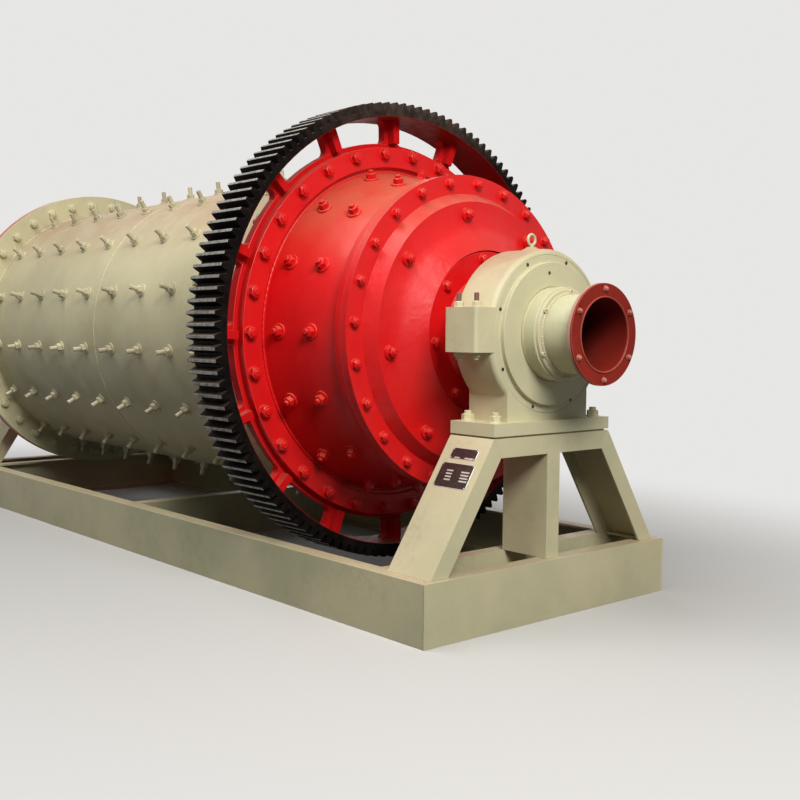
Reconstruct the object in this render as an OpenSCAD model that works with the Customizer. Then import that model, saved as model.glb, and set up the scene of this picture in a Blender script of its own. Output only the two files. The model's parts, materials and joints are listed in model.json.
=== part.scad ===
// Ball mill: a grinding drum with a spur girth gear, carried by two hollow
// trunnions in pillow bearings, on stands and a base frame of rolled channel.
// X runs along the drum, +X at the geared discharge end. Z = 0 is the underside
// of the base frame, and the origin is the middle of the frame.

/* [Drum shell] */
// Outside radius of the cylindrical shell
shell_radius = 789; // [740:1:810]
// Thickness of the shell and cone plate
shell_plate = 20; // [12:1:30]
// Length of the shell between its two flange joints
shell_length = 3127; // [2200:10:4200]
// Width of the feed end flange outside the shell
feed_flange_width = 141; // [100:1:150]
// Thickness of one flange of the feed end joint
feed_flange_plate = 40; // [25:1:60]

/* [Girth gear] */
// Gear module
gear_module = 16; // [12:1:18]
// Distance from the shell to the pitch circle, rounded to whole teeth
gear_standoff = 275; // [255:1:300]
// Height of the teeth above the floor
gear_clearance = 110; // [60:5:300]
// Face width of the teeth
gear_face = 230; // [160:5:280]
// Radial thickness of the rim under the teeth
gear_rim = 30; // [20:1:50]
// Distance from the front of the spokes to the middle of the face
gear_offset = 14; // [-20:1:40]
// Thickness of the hub ring and the spokes
web_plate = 45; // [30:1:60]
// Width of the hub ring outside the shell
hub_width = 116; // [100:1:125]
// Number of spokes
spoke_count = 16; // [8:1:20]
// Turn of the first spoke from the top
spoke_turn = 1; // [-10:0.5:10]
// Width of one spoke at its narrowest
spoke_width = 76; // [60:1:140]
// Width of the rib on a spoke
rib_width = 36; // [20:1:50]
// Height of the rib on a spoke
rib_height = 45; // [20:1:80]
// Corner radius of the windows between the spokes
window_fillet = 30; // [20:1:40]
// Width cut off the thin tip of such a corner
fillet_cut = 6; // [4:1:10]

/* [Gear end joint] */
// Width of the bolted flanges outside the shell
joint_width = 95; // [80:1:110]
// Thickness of each of these flanges
joint_plate = 45; // [25:1:60]

/* [Cone section] */
// Length of the cone plate between its flanges
cone_length = 409; // [250:1:600]
// Step from the shell in to the large end of the cone plate
cone_step = 25; // [10:1:30]
// Depth of the groove inside the flange, where the cone plate starts
groove_depth = 25; // [10:1:40]
// Loss of radius from the shell to the small end of the cone
cone_taper = 124; // [80:1:160]
// Width of the flange outside the small end
cone_flange_width = 40; // [20:1:60]
// Thickness of this flange and of the cover flange
cover_flange_plate = 40; // [25:1:60]

/* [End covers] */
// Distance from the cover's flange face to the spout face
end_reach = 767; // [740:1:900]
// Foot of the raised ring, in percent of the way from the seat to the rim
ring_foot = 75; // [70:1:85]
// Crest of the raised ring, in percent of the same way
ring_crest = 64; // [55:1:69]
// Edge of the dish, in percent of the same way
dish_edge = 37; // [20:1:40]
// Height of the raised ring above the flange
ring_height = 60; // [30:1:90]
// Wall of the cast cover
cover_wall = 45; // [30:1:60]
// Height of the dish above the flat ring
dish_height = 70; // [40:1:120]
// Radius of the recess in the dish that takes the trunnion flange
seat_radius = 365; // [362:1:420]
// Depth of this recess
seat_recess = 35; // [20:1:40]
// Number of bosses on the flat ring
boss_count = 8; // [4:1:16]
// Radius of a boss
boss_radius = 30; // [15:1:40]
// Height of a boss
boss_height = 10; // [4:1:20]
// Distance from the edge of the dish to the middle of a boss
boss_inset = 36; // [32:1:60]
// Turn of the first boss from the horizontal
boss_turn = 9; // [0:1:45]

/* [Trunnions] */
// Outside radius of the trunnion flange
trunnion_flange_radius = 360; // [340:1:361]
// Thickness of the trunnion flange
trunnion_flange_plate = 30; // [20:1:45]
// Outside radius of the neck behind the bearing
neck_radius = 240; // [215:1:260]
// Flare of the neck where it leaves its flange
neck_flare = 20; // [5:1:30]
// Outside radius of the journal
journal_radius = 195; // [180:1:205]
// Bore of the trunnion, which holds the liner tube
trunnion_bore_radius = 153; // [150:1:160]
// Outside radius of the nose collar
collar_radius = 194; // [185:1:194]
// Length of the nose collar
collar_length = 58; // [30:1:90]
// Step from the edge of the collar in to its cover ring
collar_step = 8; // [4:1:14]
// Thickness of this cover ring
collar_ring = 14; // [6:1:20]
// Outside radius of the extension tube
extension_radius = 162; // [160:1:175]
// Bore of the liner tube
spout_bore_radius = 147; // [120:1:149]
// Outside radius of the spout flange
spout_flange_radius = 205; // [195:1:240]
// Thickness of the spout flange
spout_flange_plate = 22; // [12:1:40]
// Radius of the bolt circle on the spout flange
spout_bolt_circle = 182; // [176:1:190]
// Radius of a bolt hole in the spout flange
spout_hole_radius = 9; // [5:0.5:11]
// Number of bolt holes in the spout flange
spout_hole_count = 6; // [4:1:12]

/* [Bearings] */
// Distance from the spout face to the middle of the bearing
bearing_setback = 376; // [340:1:420]
// Outside radius of the round housing
housing_radius = 354; // [310:1:400]
// Width of the housing along the axis
housing_width = 218; // [140:1:240]
// Distance from the middle of the stand back to the middle of the housing
housing_shift = 20; // [0:1:30]
// Thickness of an end cover, let into the face of the housing
end_cover_plate = 14; // [8:1:20]
// Width of the housing's rim outside an end cover
end_cover_inset = 24; // [12:1:30]
// Clearance of an end cover inside the rounded shoulder of the housing
shoulder_land = 2; // [1:1:6]
// Step from the edge of an end cover in to its raised ring
seal_ring_inset = 32; // [15:1:35]
// Height of the raised ring on an end cover
seal_ring_height = 20; // [8:1:26]
// Distance from a raised ring to the shoulder of the journal
seal_stand_off = 10; // [6:1:30]
// Radial gap between an end cover and the journal
seal_gap = 1; // [0.5:0.1:3]
// Radial running clearance of the journal
running_gap = 0.1; // [0.05:0.01:0.1]
// Distance that the clamping lugs stand out from the housing
lug_overhang = 83; // [60:1:110]
// Length of a clamping lug, back from the front face of the housing
lug_length = 180; // [120:1:210]
// Height of the cap's lug above the split
cap_lug_height = 104; // [60:1:140]
// Depth of the base's lug below the split
base_lug_depth = 76; // [50:1:120]
// Radius on the vertical edges of a lug
lug_edge_radius = 14; // [4:1:25]
// Half width of the pedestal under the housing
pedestal_half = 250; // [200:1:300]
// Distance from the axis down to the top of the pedestal
pedestal_drop = 120; // [100:1:160]
// Thickness of the bearing foot
foot_plate = 60; // [25:1:80]
// Gap between the foot and the round of the housing
foot_gap = 5; // [3:1:60]
// Height of the machined pad under the foot
pad_height = 8; // [3:1:15]
// Step from the edge of the foot in to its pad
pad_inset = 14; // [5:1:30]
// Radius at the foot of the boss under the lifting eye
eye_boss_radius = 50; // [30:1:55]
// Height of this boss above the housing
eye_boss_height = 13; // [5:1:20]
// Inside radius of the ring of the lifting eye
eye_inner_radius = 16; // [10:1:25]
// Thickness of the ring of the lifting eye
eye_wire = 12; // [8:1:18]

/* [Base frame] */
// Outside width of the base frame
frame_width = 1500; // [1460:10:1900]
// Distance from the spout face to the end of the frame
frame_setback = 226; // [180:1:245]
// Height of the rolled channel
channel_height = 250; // [200:5:300]
// Width of a channel flange
channel_flange = 78; // [60:1:100]
// Thickness of the channel web
channel_web = 7; // [6:0.5:14]
// Thickness of a channel flange
channel_lip = 12; // [8:0.5:18]
// Radius of the fillet inside a channel
channel_fillet = 12; // [4:1:20]
// Place of the middle cross beam along the frame
middle_beam_x = 46; // [-400:1:400]

/* [Bearing stands] */
// Half width of a stand at its top
stand_top_half = 361; // [340:1:420]
// Distance from the side of the frame to the foot of a leg
stand_foot_inset = 53; // [20:1:120]

/* [Hidden] */
$fn = 96;

STEEL_PAINT = [0.66, 0.66, 0.54];
RED_PAINT = [0.86, 0.10, 0.10];
OXIDE_PAINT = [0.52, 0.13, 0.10];
BARE_STEEL = [0.20, 0.19, 0.19];

// Radii that follow the shell
feed_flange_radius = shell_radius + feed_flange_width;
joint_radius = shell_radius + joint_width;
hub_radius = shell_radius + hub_width;
cone_start_radius = shell_radius - cone_step;
cone_end_radius = shell_radius - cone_taper;
cone_flange_radius = cone_end_radius + cone_flange_width;
gear_teeth = round(2 * (shell_radius + gear_standoff) / gear_module);
gear_pitch_radius = gear_module * gear_teeth / 2;
gear_tip_radius = gear_pitch_radius + gear_module;
gear_root_radius = gear_pitch_radius - 1.25 * gear_module;
rim_inner_radius = gear_root_radius - gear_rim;
axis_height = gear_tip_radius + gear_clearance;
cover_span = cone_flange_radius - seat_radius;
ring_foot_radius = seat_radius + cover_span * ring_foot / 100;
ring_crest_radius = seat_radius + cover_span * ring_crest / 100;
dish_radius = seat_radius + cover_span * dish_edge / 100;

// Distances along the axis, built up from one cover face to the spout face
cover_depth = ring_height + dish_height;
overall_length = 2 * end_reach + 3 * cover_flange_plate + shell_length
    + web_plate + joint_plate + cone_length;
spout_face = overall_length / 2;
cover_face = spout_face - end_reach;
cover_joint = cover_face - cover_flange_plate;
cone_front = cover_joint - cover_flange_plate;
cone_back = cone_front - cone_length;
cone_start = cone_back - groove_depth;
web_front = cone_back - joint_plate;
web_back = web_front - web_plate;
shell_end = web_back;
shell_start = shell_end - shell_length;
shell_seam = (shell_start + shell_end) / 2;
gear_middle = web_front + gear_offset;

bearing_x = spout_face - bearing_setback;
frame_end = spout_face - frame_setback;
stand_depth = channel_height;
stand_top = axis_height - housing_radius - foot_gap - foot_plate;
stand_foot_half = frame_width / 2 - stand_foot_inset;
housing_x = bearing_x - housing_shift;
housing_face = housing_x + housing_width / 2;
end_cover_radius = housing_radius - end_cover_inset;
shoulder_radius = end_cover_inset - shoulder_land;
seal_ring_radius = end_cover_radius - seal_ring_inset;
lug_reach = housing_radius + lug_overhang;
seal_reach = housing_width / 2 + seal_ring_height;
journal_nose = housing_x + seal_reach + seal_stand_off;
neck_end = housing_x - seal_reach - seal_stand_off;
seat_depth = cover_depth - seat_recess;
trunnion_seat = cover_face + seat_depth;
trunnion_face = trunnion_seat + trunnion_flange_plate;
far_away = 4 * overall_length;

// A solid of revolution about the drum axis: the profile is [radius, x] pairs
module turned(profile) {
    translate([0, 0, axis_height])
        rotate([0, 90, 0])
            rotate_extrude()
                polygon(profile);
}

// A plain ring about the drum axis
module ring(x_from, x_to, outer, inner) {
    turned([[inner, x_from], [outer, x_from], [outer, x_to], [inner, x_to]]);
}

// The same pieces stand at both ends: the feed end is the mirror image
module at_feed_end() {
    mirror([1, 0, 0]) children();
}

// Section of the rolled channel: web on the left, flanges to the right
module channel_section(height = channel_height) {
    difference() {
        square([channel_flange, height]);
        translate([channel_web, channel_lip])
            difference() {
                square([channel_flange, height - 2 * channel_lip]);
                for (side = [0, 1])
                    translate([0, side * (height - 2 * channel_lip)])
                        mirror([0, side])
                            difference() {
                                square(channel_fillet);
                                translate([channel_fillet, channel_fillet])
                                    circle(channel_fillet);
                            }
            }
    }
}

// A length of channel along X: web in the plane y = 0, flanges towards +y
module channel_along_x(length) {
    translate([-length / 2, 0, 0])
        rotate([90, 0, 90])
            linear_extrude(length)
                channel_section();
}

// Base frame
module mitred_beam(length) {
    difference() {
        channel_along_x(length);
        for (side = [-1, 1])
            translate([side * length / 2, 0, -1])
                rotate([0, 0, side * 45])
                    translate([side > 0 ? 0 : -length, -length, 0])
                        cube([length, 2 * length, channel_height + 2]);
    }
}

module side_beam(side) {
    color(STEEL_PAINT)
        translate([0, side * frame_width / 2, 0])
            rotate([0, 0, side > 0 ? 180 : 0])
                mitred_beam(2 * frame_end);
}

module end_beam() {
    color(STEEL_PAINT)
        translate([frame_end, 0, 0])
            rotate([0, 0, 90])
                mitred_beam(frame_width);
}

// A cross beam between the webs of the side beams, web facing the discharge end
module cross_beam(face_x) {
    color(STEEL_PAINT)
        intersection() {
            translate([face_x, 0, 0])
                rotate([0, 0, 90])
                    channel_along_x(frame_width);
            difference() {
                cross_reach = frame_width / 2 - channel_web;
                translate([-far_away / 2, -cross_reach, 0])
                    cube([far_away, 2 * cross_reach, channel_height]);
                for (side = [-1, 1])
                    translate([0, side * frame_width / 2, 0])
                        rotate([0, 0, side > 0 ? 180 : 0])
                            channel_along_x(far_away);
            }
        }
}

module sill_beam() {
    cross_beam(bearing_x - stand_depth / 2 + channel_lip);
}

// Bearing stand
leg_run = stand_foot_half - stand_top_half;
leg_rise = stand_top - channel_height;
leg_angle = atan(leg_run / leg_rise);
leg_length = sqrt(leg_run * leg_run + leg_rise * leg_rise);

// A prism along the drum axis, drawn by its outline across the stand
module stand_prism(outline) {
    translate([bearing_x - stand_depth, 0, 0])
        rotate([90, 0, 90])
            linear_extrude(2 * stand_depth)
                polygon(outline);
}

// Everything between the outer slopes of the legs
module stand_outline() {
    stand_prism([
        [-stand_top_half, stand_top], [stand_top_half, stand_top],
        [stand_foot_half, channel_height], [-stand_foot_half, channel_height]
    ]);
}

// The top channel's share, cut off at both ends by the mitres with the legs
module top_zone() {
    mitre = channel_flange * (1 - sin(leg_angle)) / cos(leg_angle);
    stand_prism([
        [-stand_top_half, stand_top], [stand_top_half, stand_top],
        [stand_top_half - mitre, stand_top - channel_flange],
        [-stand_top_half + mitre, stand_top - channel_flange]
    ]);
}

module stand_top_piece() {
    color(STEEL_PAINT)
        intersection() {
            translate([bearing_x - stand_depth / 2, 0, stand_top])
                rotate([0, 90, -90])
                    linear_extrude(2 * frame_width, center = true)
                        channel_section();
            top_zone();
        }
}

module leg_channel() {
    translate([bearing_x - stand_depth / 2, -stand_foot_half, channel_height])
        rotate([-leg_angle, 0, 0])
            translate([0, 0, -channel_height])
                rotate([0, 0, 90])
                    mirror([0, 1, 0])
                        linear_extrude(leg_length + 2 * channel_height)
                            channel_section();
}

module stand_leg(side) {
    color(STEEL_PAINT)
        mirror([0, side > 0 ? 1 : 0, 0])
            difference() {
                intersection() {
                    leg_channel();
                    stand_outline();
                }
                top_zone();
            }
}

module stand_post() {
    color(STEEL_PAINT)
        translate([bearing_x - stand_depth / 2, -channel_flange / 2, channel_height])
            rotate([0, 0, 90])
                mirror([0, 1, 0])
                    linear_extrude(stand_top - channel_flange - channel_height)
                        channel_section();
}

// Pillow bearing
module lug_pair(low, high) {
    root = housing_radius * 0.8;
    tip = lug_reach - lug_edge_radius;
    for (side = [-1, 1])
        translate([housing_face - lug_length, 0, axis_height + low])
            linear_extrude(high - low)
                scale([1, side]) {
                    translate([0, root])
                        square([lug_length, tip - root]);
                    translate([lug_edge_radius, root])
                        square([lug_length - 2 * lug_edge_radius, lug_reach - root]);
                    for (corner = [lug_edge_radius, lug_length - lug_edge_radius])
                        translate([corner, tip])
                            circle(lug_edge_radius);
                }
}

// The round of the housing about the drum axis, with rounded shoulders
module housing_round() {
    half = housing_width / 2;
    bore = journal_radius + running_gap;
    shoulder_middle = housing_radius - shoulder_radius;
    translate([housing_x, 0, axis_height])
        rotate([0, 90, 0])
            rotate_extrude() {
                translate([bore, -half])
                    square([shoulder_middle - bore, 2 * half]);
                translate([bore, shoulder_radius - half])
                    square([housing_radius - bore, 2 * (half - shoulder_radius)]);
                for (end = [-1, 1])
                    translate([shoulder_middle, end * (half - shoulder_radius)])
                        circle(shoulder_radius);
            }
}

// The half of the round above the split, or the half below it
module half_round(upper) {
    difference() {
        housing_round();
        translate([housing_x - housing_width, -2 * housing_radius,
                   axis_height - (upper ? 2 * housing_radius : 0)])
            cube([2 * housing_width, 4 * housing_radius, 2 * housing_radius]);
    }
}

// The round recesses in both faces of the housing that take the end covers
module cover_recesses() {
    for (outward = [-1, 1])
        translate([housing_x + outward * housing_width / 2, 0, axis_height])
            rotate([0, 90, 0])
                cylinder(h = 2 * end_cover_plate, r = end_cover_radius, center = true);
}

// The conical boss that carries the lifting eye, let into the top of the round
module eye_boss() {
    root = eye_boss_radius * eye_boss_radius / housing_radius;
    translate([housing_x, 0, axis_height + housing_radius - root])
        cylinder(h = root + eye_boss_height, r1 = eye_boss_radius, r2 = eye_wire * 1.5);
}

module bearing_cap() {
    color(STEEL_PAINT)
        difference() {
            union() {
                half_round(true);
                lug_pair(0, cap_lug_height);
                eye_boss();
            }
            cover_recesses();
        }
}

// The foot under the housing, with the machined pad that it rests on
module bearing_foot() {
    translate([bearing_x - stand_depth / 2, -stand_top_half, stand_top]) {
        translate([0, 0, pad_height])
            cube([stand_depth, 2 * stand_top_half, foot_plate - pad_height]);
        translate([pad_inset, pad_inset, 0])
            cube([stand_depth - 2 * pad_inset, 2 * (stand_top_half - pad_inset), foot_plate / 2]);
    }
}

// The block between the foot and the round, bored for the journal
module pedestal() {
    pedestal_foot = foot_plate / 2 + stand_top - axis_height;
    translate([housing_x - housing_width / 2, 0, axis_height])
        rotate([90, 0, 90])
            linear_extrude(housing_width)
                difference() {
                    translate([-pedestal_half, pedestal_foot])
                        square([2 * pedestal_half, -pedestal_drop - pedestal_foot]);
                    circle(journal_radius + running_gap);
                }
}

module bearing_base() {
    color(STEEL_PAINT)
        difference() {
            union() {
                half_round(false);
                pedestal();
                lug_pair(-base_lug_depth, 0);
                bearing_foot();
            }
            cover_recesses();
        }
}

module bearing_end_cover(outward) {
    plate = housing_x + outward * housing_width / 2;
    seat = plate - outward * end_cover_plate;
    crest = plate + outward * seal_ring_height;
    bore = journal_radius + seal_gap;
    color(STEEL_PAINT)
        turned([[bore, seat], [end_cover_radius, seat], [end_cover_radius, plate],
                [seal_ring_radius, plate], [seal_ring_radius, crest], [bore, crest]]);
}

module lifting_eye() {
    eye_middle = eye_inner_radius + eye_wire / 2;
    color(STEEL_PAINT)
        translate([housing_x, 0, axis_height + housing_radius + eye_boss_height]) {
            translate([0, 0, eye_middle + eye_wire * 2 / 3])
                rotate([0, 90, 0])
                    rotate_extrude()
                        translate([eye_middle, 0])
                            circle(eye_wire / 2, $fn = 32);
            cylinder(h = eye_wire, r = eye_wire * 0.9, $fn = 48);
        }
}

// Drum
module shell_strake(from, to) {
    color(STEEL_PAINT)
        ring(from, to, shell_radius, shell_radius - shell_plate);
}

module shell_flange_gear() {
    color(RED_PAINT)
        ring(shell_end - joint_plate, shell_end, joint_radius, shell_radius);
}

module shell_flange_feed() {
    color(STEEL_PAINT)
        ring(shell_start, shell_start + feed_flange_plate, feed_flange_radius, shell_radius);
}

pressure_angle = 20;
base_radius = gear_pitch_radius * cos(pressure_angle);
function involute(angle) = tan(angle) * 180 / PI - angle;
function half_tooth(r) =
    90 / gear_teeth + involute(pressure_angle) - involute(acos(base_radius / r));
flank_radii = [gear_root_radius, gear_pitch_radius, gear_tip_radius];
flank_count = len(flank_radii);
tooth_outline = [
    for (tooth = [0 : gear_teeth - 1], side = [-1, 1], step = [0 : flank_count - 1])
        let (r = flank_radii[side < 0 ? step : flank_count - 1 - step],
             a = tooth * 360 / gear_teeth + side * half_tooth(r))
            [r * cos(a), r * sin(a)]
];

module girth_gear() {
    color(BARE_STEEL)
        translate([gear_middle - gear_face / 2, 0, axis_height])
            rotate([90, 0, 90])
                linear_extrude(gear_face)
                    difference() {
                        polygon(tooth_outline);
                        circle(rim_inner_radius);
                    }
}

module gear_hub() {
    color(RED_PAINT)
        ring(web_back, web_front, hub_radius, shell_radius - shell_plate);
}

// The outline of one spoke, with fillets where it meets the hub ring and the rim
module spoke_outline() {
    side_y = spoke_width / 2 + window_fillet;
    foot_x = sqrt(pow(hub_radius + window_fillet, 2) - side_y * side_y);
    top_x = sqrt(pow(rim_inner_radius - window_fillet, 2) - side_y * side_y);
    tangent_y = side_y * hub_radius / (hub_radius + window_fillet);
    tip_y = tangent_y - fillet_cut;
    difference() {
        translate([hub_radius - side_y, -tip_y])
            square([rim_inner_radius - hub_radius + 2 * side_y, 2 * tip_y]);
        for (side = [-1, 1]) {
            translate([foot_x, side * side_y])
                circle(window_fillet);
            translate([top_x, side * side_y])
                circle(window_fillet);
            translate([foot_x, side * side_y - window_fillet])
                square([top_x - foot_x, 2 * window_fillet]);
        }
    }
}

// Every spoke, cut to the ring between the hub and the rim
module spoke_layer(thickness) {
    rotate([90, 0, 90])
        linear_extrude(thickness)
            intersection() {
                difference() {
                    circle(rim_inner_radius);
                    circle(hub_radius);
                }
                for (i = [0 : spoke_count - 1])
                    rotate(90 + spoke_turn + i * 360 / spoke_count)
                        children();
            }
}

module gear_spokes() {
    color(RED_PAINT)
        translate([web_back, 0, axis_height]) {
            spoke_layer(web_plate)
                spoke_outline();
            spoke_layer(web_plate + rib_height)
                translate([hub_radius / 2, -rib_width / 2])
                    square([rim_inner_radius, rib_width]);
        }
}

module cone_section() {
    inner = cone_start_radius - shell_plate;
    inner_end = cone_end_radius - shell_plate;
    color(RED_PAINT)
        turned([
            [inner, web_front], [joint_radius, web_front], [joint_radius, cone_back],
            [shell_radius, cone_back], [shell_radius, cone_start],
            [cone_start_radius, cone_start], [cone_end_radius, cone_front],
            [cone_flange_radius, cone_front], [cone_flange_radius, cover_joint],
            [inner_end, cover_joint], [inner_end, cone_front], [inner, cone_start]
        ]);
}

// The cast end cover: flange, raised ring, flat ring, dish and trunnion seat
function cover_profile(flange_outer, flange_inner, shift) = [
    [flange_inner, -cover_flange_plate],
    [flange_outer, -cover_flange_plate],
    [flange_outer, 0],
    [ring_foot_radius + shift, 0],
    [ring_crest_radius + shift, ring_height],
    [dish_radius, ring_height],
    [seat_radius, cover_depth],
    [seat_radius, seat_depth],
    [neck_radius - 30, seat_depth],
    [neck_radius - 30, seat_depth - cover_wall],
    [seat_radius - 20, seat_depth - cover_wall],
    [dish_radius - 20, ring_height - cover_wall],
    [ring_crest_radius + shift - 30, ring_height - cover_wall],
    [ring_crest_radius + shift - 10, -cover_flange_plate]
];

module cover_bosses() {
    for (i = [0 : boss_count - 1])
        translate([cover_face + ring_height - 1, 0, axis_height])
            rotate([boss_turn + i * 360 / boss_count, 0, 0])
                translate([0, dish_radius + boss_inset, 0])
                    rotate([0, 90, 0])
                        cylinder(h = boss_height + 1, r = boss_radius);
}

module end_cover_discharge() {
    color(RED_PAINT)
        union() {
            turned([for (p = cover_profile(cone_flange_radius, ring_crest_radius - 10, 0))
                [p[0], p[1] + cover_face]]);
            cover_bosses();
        }
}

module end_cover_feed() {
    feed_shift = shell_radius - cone_flange_radius + 75;
    color(RED_PAINT)
        at_feed_end() {
            turned([for (p = cover_profile(feed_flange_radius,
                                           ring_crest_radius + feed_shift - 10, feed_shift))
                [p[0], p[1] + cover_face]]);
            cover_bosses();
        }
}

module trunnion_flange() {
    color(RED_PAINT)
        ring(trunnion_seat, trunnion_face, trunnion_flange_radius, neck_radius + neck_flare);
}

module trunnion() {
    root_radius = neck_radius + neck_flare;
    color(RED_PAINT)
        turned([
            [trunnion_bore_radius, trunnion_seat], [root_radius, trunnion_seat],
            [root_radius, trunnion_face], [neck_radius, trunnion_face + neck_flare],
            [neck_radius, neck_end], [journal_radius, neck_end],
            [journal_radius, journal_nose], [trunnion_bore_radius, journal_nose]
        ]);
}

module nose() {
    collar_end = journal_nose + collar_length;
    collar_face = collar_end + collar_ring;
    ring_radius = collar_radius - collar_step;
    bevel = 3;
    color(STEEL_PAINT)
        turned([
            [trunnion_bore_radius, journal_nose], [collar_radius, journal_nose],
            [collar_radius, collar_end - bevel], [collar_radius - bevel, collar_end],
            [ring_radius, collar_end], [ring_radius, collar_face - bevel],
            [ring_radius - bevel, collar_face], [extension_radius, collar_face],
            [extension_radius, spout_face - spout_flange_plate],
            [trunnion_bore_radius, spout_face - spout_flange_plate]
        ]);
}

module spout() {
    color(OXIDE_PAINT)
        difference() {
            turned([
                [spout_bore_radius, trunnion_seat - cover_wall],
                [trunnion_bore_radius, trunnion_seat - cover_wall],
                [trunnion_bore_radius, spout_face - spout_flange_plate],
                [spout_flange_radius, spout_face - spout_flange_plate],
                [spout_flange_radius, spout_face], [spout_bore_radius, spout_face]
            ]);
            for (i = [0 : spout_hole_count - 1])
                translate([spout_face - spout_flange_plate - 1, 0, axis_height])
                    rotate([i * 360 / spout_hole_count, 0, 0])
                        translate([0, 0, spout_bolt_circle])
                            rotate([0, 90, 0])
                                cylinder(h = spout_flange_plate + 2, r = spout_hole_radius);
        }
}

side_beam(-1);  // side_beam_left
side_beam(1);  // side_beam_right
end_beam();  // end_beam_discharge
at_feed_end() end_beam();  // end_beam_feed
sill_beam();  // sill_beam_discharge
at_feed_end() sill_beam();  // sill_beam_feed
cross_beam(middle_beam_x);  // middle_beam
stand_top_piece();  // stand_top_discharge
stand_leg(-1);  // stand_left_leg_discharge
stand_leg(1);  // stand_right_leg_discharge
stand_post();  // stand_post_discharge
at_feed_end() stand_top_piece();  // stand_top_feed
at_feed_end() stand_leg(-1);  // stand_left_leg_feed
at_feed_end() stand_leg(1);  // stand_right_leg_feed
at_feed_end() stand_post();  // stand_post_feed
bearing_base();  // bearing_base_discharge
bearing_cap();  // bearing_cap_discharge
bearing_end_cover(1);  // bearing_front_cover_discharge
bearing_end_cover(-1);  // bearing_back_cover_discharge
lifting_eye();  // lifting_eye_discharge
at_feed_end() bearing_base();  // bearing_base_feed
at_feed_end() bearing_cap();  // bearing_cap_feed
at_feed_end() bearing_end_cover(1);  // bearing_front_cover_feed
at_feed_end() bearing_end_cover(-1);  // bearing_back_cover_feed
at_feed_end() lifting_eye();  // lifting_eye_feed
shell_strake(shell_seam, shell_end);  // shell_strake_discharge
shell_strake(shell_start, shell_seam);  // shell_strake_feed
shell_flange_gear();
shell_flange_feed();
girth_gear();
gear_hub();
gear_spokes();
cone_section();
end_cover_discharge();
trunnion_flange();  // trunnion_flange_discharge
trunnion();  // trunnion_discharge
nose();  // nose_discharge
spout();  // spout_discharge
end_cover_feed();
at_feed_end() trunnion_flange();  // trunnion_flange_feed
at_feed_end() trunnion();  // trunnion_feed
at_feed_end() nose();  // nose_feed
at_feed_end() spout();  // spout_feed
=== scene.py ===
# %% [markdown]
# # Dressing a ball mill
#
# A ball mill is a steel drum that lies on its side and turns. Steel balls tumble
# inside it and crush ore. The CAD model gives every solid at its true size. This
# lesson adds what a modeller adds in Blender: paint, bolts, weld beads, softened
# edges, light and a camera. Every place is in metres, in the CAD model's own frame.

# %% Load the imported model
import json
import math
import random

import bpy
from mathutils import Matrix, Vector


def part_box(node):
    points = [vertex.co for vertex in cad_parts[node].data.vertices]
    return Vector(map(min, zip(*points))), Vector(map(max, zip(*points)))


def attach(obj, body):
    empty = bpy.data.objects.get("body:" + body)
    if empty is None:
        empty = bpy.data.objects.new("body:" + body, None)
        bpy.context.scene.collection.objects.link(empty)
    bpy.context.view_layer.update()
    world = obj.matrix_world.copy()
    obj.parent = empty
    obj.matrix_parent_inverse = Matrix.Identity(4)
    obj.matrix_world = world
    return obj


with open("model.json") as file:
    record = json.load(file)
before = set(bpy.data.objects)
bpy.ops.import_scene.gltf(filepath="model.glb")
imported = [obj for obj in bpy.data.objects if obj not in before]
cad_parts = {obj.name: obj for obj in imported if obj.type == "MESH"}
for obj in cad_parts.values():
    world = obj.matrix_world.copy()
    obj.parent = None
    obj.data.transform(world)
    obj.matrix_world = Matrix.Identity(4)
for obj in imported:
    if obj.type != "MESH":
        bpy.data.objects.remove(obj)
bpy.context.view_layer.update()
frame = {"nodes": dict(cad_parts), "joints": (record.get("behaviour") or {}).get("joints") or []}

# %% [markdown]
# ## Where things are
#
# Bolts and welds must sit on the solids that carry them, so their places are worked
# out from the boxes of the CAD nodes. The drum turns about X at the height of its
# one joint. A small helper turns a radius and an angle into a point: 0 degrees is
# the +Y side and 90 degrees is the top.

# %% Measure the solids
MM = 0.001
AXIS_Z = frame["joints"][0]["pos_m"][2]
ALONG = Vector((1, 0, 0))
UPWARD = Vector((0, 0, 1))


def lowest(node):
    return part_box(node)[0]


def highest(node):
    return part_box(node)[1]


def outer_radius(node):
    return highest(node).z - AXIS_Z


def away_from_axis(degrees):
    """The direction straight out from the drum's axis at that angle."""
    turn = math.radians(degrees)
    return Vector((0, math.cos(turn), math.sin(turn)))


def on_drum(x, radius, degrees):
    """The point at that radius and angle about the drum's axis."""
    return Vector((x, 0, AXIS_Z)) + away_from_axis(degrees) * radius


shell_radius = outer_radius("shell_strake_discharge")
shell_seam = lowest("shell_strake_discharge").x
shell_end = highest("shell_strake_discharge").x
print("Shell:", round(shell_radius, 3), "m radius, seam at x =", round(shell_seam, 3))

# %% [markdown]
# ## The camera
#
# The photograph was solved for its camera: where it stood, how it was turned and how
# wide its lens was. A camera in Blender looks along its own -Z, so the three
# directions right, up and back are enough to aim it, and a roll turns right and up
# about back.

# %% Set the camera
camera_place = Vector((5.3208, -3.4278, 1.1897))
azimuth, elevation, roll = (math.radians(angle) for angle in (48.776, 3.593, 0.560))
back = Vector((
    math.sin(azimuth) * math.cos(elevation),
    -math.cos(azimuth) * math.cos(elevation),
    math.sin(elevation),
))
level_right = Vector((math.cos(azimuth), math.sin(azimuth), 0))
level_up = back.cross(level_right)
right = level_right * math.cos(roll) + level_up * math.sin(roll)
up = level_up * math.cos(roll) - level_right * math.sin(roll)

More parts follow.
